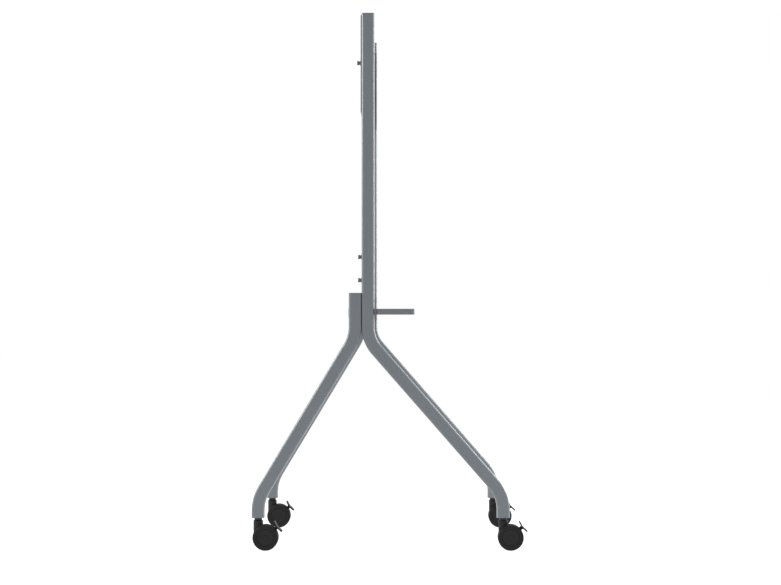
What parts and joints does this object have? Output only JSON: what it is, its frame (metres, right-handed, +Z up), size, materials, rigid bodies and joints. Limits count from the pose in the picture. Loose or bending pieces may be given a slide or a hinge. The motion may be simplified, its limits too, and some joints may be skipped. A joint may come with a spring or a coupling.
{
  "type": "mobile tv stand",
  "caption": "Mobile display stand with two bent-tube side frames, rear plate, display brackets, narrow tray and braked twin-wheel casters.",
  "frame": {"origin": "on the floor under the middle of the object's width and depth, casters trailing to the front", "axes": "+Z up, -Y towards the front, where the tray and the longer legs are, +X to the right of someone who stands in front and looks along +Y"},
  "size_m": [0.7288, 0.8602, 1.674],
  "materials": {
    "frame_paint": "fine-textured slate grey powder coat, satin",
    "bracket_paint": "dark grey powder coat, matt",
    "cap_plastic": "moulded grey plastic, matt",
    "plug_plastic": "moulded black plastic",
    "caster_plastic": "moulded black nylon, fine texture",
    "wheel_plastic": "black wheel with soft tread",
    "pedal_plastic": "moulded black nylon",
    "axle_steel": "bright drawn steel",
    "stem_steel": "black oxide steel",
    "screw_steel": "dark zinc steel",
    "insert_steel": "zinc plated steel"
  },
  "bodies": {
    "frame": {"back_plate": "frame_paint", "cross_tube": "frame_paint", "display_bracket_inserts": "insert_steel", "display_bracket_screws": "screw_steel", "front_left_caster_stem": "stem_steel", "front_left_leg_plug": "plug_plastic", "front_right_caster_stem": "stem_steel", "front_right_leg_plug": "plug_plastic", "joint_plate_inserts": "insert_steel", "joint_plate_screws": "screw_steel", "left_display_bracket": "bracket_paint", "left_joint_plate": "frame_paint", "left_post": "frame_paint", "left_post_cap": "cap_plastic", "left_rear_leg": "frame_paint", "left_rear_leg_cap": "cap_plastic", "left_tray_arm": "bracket_paint", "rear_inserts": "insert_steel", "rear_left_caster_stem": "stem_steel", "rear_left_leg_plug": "plug_plastic", "rear_right_caster_stem": "stem_steel", "rear_right_leg_plug": "plug_plastic", "rear_screws": "screw_steel", "rear_washers": "screw_steel", "right_display_bracket": "bracket_paint", "right_joint_plate": "frame_paint", "right_post": "frame_paint", "right_post_cap": "cap_plastic", "right_rear_leg": "frame_paint", "right_rear_leg_cap": "cap_plastic", "right_tray_arm": "bracket_paint", "tray": "frame_paint", "tray_arm_inserts": "insert_steel", "tray_arm_screws": "screw_steel", "tray_screws": "screw_steel"},
    "front_left_caster": {"front_left_caster_body": "caster_plastic", "front_left_axle": "axle_steel", "front_left_pedal_pin": "axle_steel"},
    "front_left_outer_wheel": {"front_left_outer_wheel": "wheel_plastic"},
    "front_left_inner_wheel": {"front_left_inner_wheel": "wheel_plastic"},
    "front_left_brake_pedal": {"front_left_brake_pedal": "pedal_plastic"},
    "front_right_caster": {"front_right_caster_body": "caster_plastic", "front_right_axle": "axle_steel", "front_right_pedal_pin": "axle_steel"},
    "front_right_outer_wheel": {"front_right_outer_wheel": "wheel_plastic"},
    "front_right_inner_wheel": {"front_right_inner_wheel": "wheel_plastic"},
    "front_right_brake_pedal": {"front_right_brake_pedal": "pedal_plastic"},
    "rear_left_caster": {"rear_left_caster_body": "caster_plastic", "rear_left_axle": "axle_steel", "rear_left_pedal_pin": "axle_steel"},
    "rear_left_outer_wheel": {"rear_left_outer_wheel": "wheel_plastic"},
    "rear_left_inner_wheel": {"rear_left_inner_wheel": "wheel_plastic"},
    "rear_left_brake_pedal": {"rear_left_brake_pedal": "pedal_plastic"},
    "rear_right_caster": {"rear_right_caster_body": "caster_plastic", "rear_right_axle": "axle_steel", "rear_right_pedal_pin": "axle_steel"},
    "rear_right_outer_wheel": {"rear_right_outer_wheel": "wheel_plastic"},
    "rear_right_inner_wheel": {"rear_right_inner_wheel": "wheel_plastic"},
    "rear_right_brake_pedal": {"rear_right_brake_pedal": "pedal_plastic"}
  },
  "joints": [
    {"name": "front_left_swivel", "type": "hinge", "parent": "frame", "child": "front_left_caster", "pos_m": [-0.34, -0.35432, 0.094], "axis": [0, 0, 1], "continuous": true},
    {"name": "front_left_outer_wheel_spin", "type": "hinge", "parent": "front_left_caster", "child": "front_left_outer_wheel", "pos_m": [-0.3569, -0.37732, 0.04], "axis": [1, 0, 0], "continuous": true},
    {"name": "front_left_inner_wheel_spin", "type": "hinge", "parent": "front_left_caster", "child": "front_left_inner_wheel", "pos_m": [-0.3231, -0.37732, 0.04], "axis": [1, 0, 0], "continuous": true},
    {"name": "front_left_brake", "type": "hinge", "parent": "front_left_caster", "child": "front_left_brake_pedal", "pos_m": [-0.34, -0.39922, 0.0605], "axis": [1, 0, 0], "range_deg": [0, 14]},
    {"name": "front_right_swivel", "type": "hinge", "parent": "frame", "child": "front_right_caster", "pos_m": [0.34, -0.35432, 0.094], "axis": [0, 0, 1], "continuous": true},
    {"name": "front_right_outer_wheel_spin", "type": "hinge", "parent": "front_right_caster", "child": "front_right_outer_wheel", "pos_m": [0.3569, -0.37732, 0.04], "axis": [1, 0, 0], "continuous": true},
    {"name": "front_right_inner_wheel_spin", "type": "hinge", "parent": "front_right_caster", "child": "front_right_inner_wheel", "pos_m": [0.3231, -0.37732, 0.04], "axis": [1, 0, 0], "continuous": true},
    {"name": "front_right_brake", "type": "hinge", "parent": "front_right_caster", "child": "front_right_brake_pedal", "pos_m": [0.34, -0.39922, 0.0605], "axis": [1, 0, 0], "range_deg": [0, 14]},
    {"name": "rear_left_swivel", "type": "hinge", "parent": "frame", "child": "rear_left_caster", "pos_m": [-0.34, 0.41008, 0.094], "axis": [0, 0, 1], "continuous": true},
    {"name": "rear_left_outer_wheel_spin", "type": "hinge", "parent": "rear_left_caster", "child": "rear_left_outer_wheel", "pos_m": [-0.3569, 0.38708, 0.04], "axis": [1, 0, 0], "continuous": true},
    {"name": "rear_left_inner_wheel_spin", "type": "hinge", "parent": "rear_left_caster", "child": "rear_left_inner_wheel", "pos_m": [-0.3231, 0.38708, 0.04], "axis": [1, 0, 0], "continuous": true},
    {"name": "rear_left_brake", "type": "hinge", "parent": "rear_left_caster", "child": "rear_left_brake_pedal", "pos_m": [-0.34, 0.36518, 0.0605], "axis": [1, 0, 0], "range_deg": [0, 14]},
    {"name": "rear_right_swivel", "type": "hinge", "parent": "frame", "child": "rear_right_caster", "pos_m": [0.34, 0.41008, 0.094], "axis": [0, 0, 1], "continuous": true},
    {"name": "rear_right_outer_wheel_spin", "type": "hinge", "parent": "rear_right_caster", "child": "rear_right_outer_wheel", "pos_m": [0.3569, 0.38708, 0.04], "axis": [1, 0, 0], "continuous": true},
    {"name": "rear_right_inner_wheel_spin", "type": "hinge", "parent": "rear_right_caster", "child": "rear_right_inner_wheel", "pos_m": [0.3231, 0.38708, 0.04], "axis": [1, 0, 0], "continuous": true},
    {"name": "rear_right_brake", "type": "hinge", "parent": "rear_right_caster", "child": "rear_right_brake_pedal", "pos_m": [0.34, 0.36518, 0.0605], "axis": [1, 0, 0], "range_deg": [0, 14]}
  ]
}
